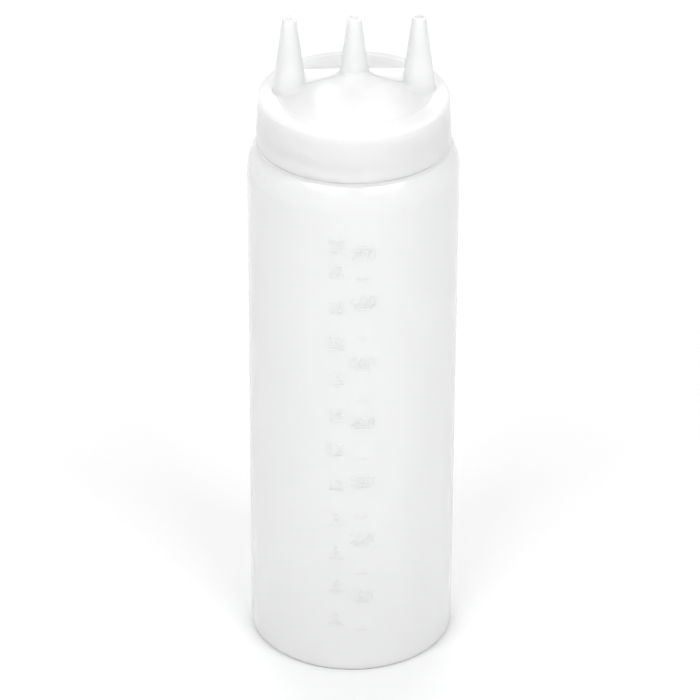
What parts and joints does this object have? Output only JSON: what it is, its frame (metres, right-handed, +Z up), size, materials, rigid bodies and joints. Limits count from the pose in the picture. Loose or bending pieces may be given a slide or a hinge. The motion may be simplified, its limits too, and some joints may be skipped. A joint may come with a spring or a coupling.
{
  "type": "squeeze bottle with multi-nozzle screw cap",
  "caption": "Translucent wide-mouth squeeze bottle with a graduated body and a screw cap that carries a row of open tapered nozzles joined by a web.",
  "frame": {"origin": "middle of the bottle's base, on the plane of its foot ring", "axes": "+Z up along the bottle's axis; +X along the row of nozzles; -Y towards the front, where the graduations are"},
  "size_m": [0.074, 0.074, 0.2463],
  "materials": {
    "bottle_plastic": "translucent natural polyethylene, soft satin",
    "cap_plastic": "translucent natural polyethylene, smooth satin",
    "ring_rubber": "soft white sealing ring, matte"
  },
  "bodies": {
    "bottle": {"bottle": "bottle_plastic"},
    "seal": {"sealing_ring": "ring_rubber"},
    "cap": {"cap": "cap_plastic"}
  },
  "joints": [
    {"name": "cap_lift", "type": "slide", "parent": "bottle", "child": "seal", "axis": [0, 0, 1], "range_m": [0, 0.01482]},
    {"name": "cap_turn", "type": "hinge", "parent": "seal", "child": "cap", "pos_m": [0, 0, 0.2], "axis": [0, 0, 1], "range_deg": [0, 1260]}
  ],
  "couplings": [
    {"joint": "cap_lift", "follows": "cap_turn", "m_per_rad": 0.00067377}
  ]
}
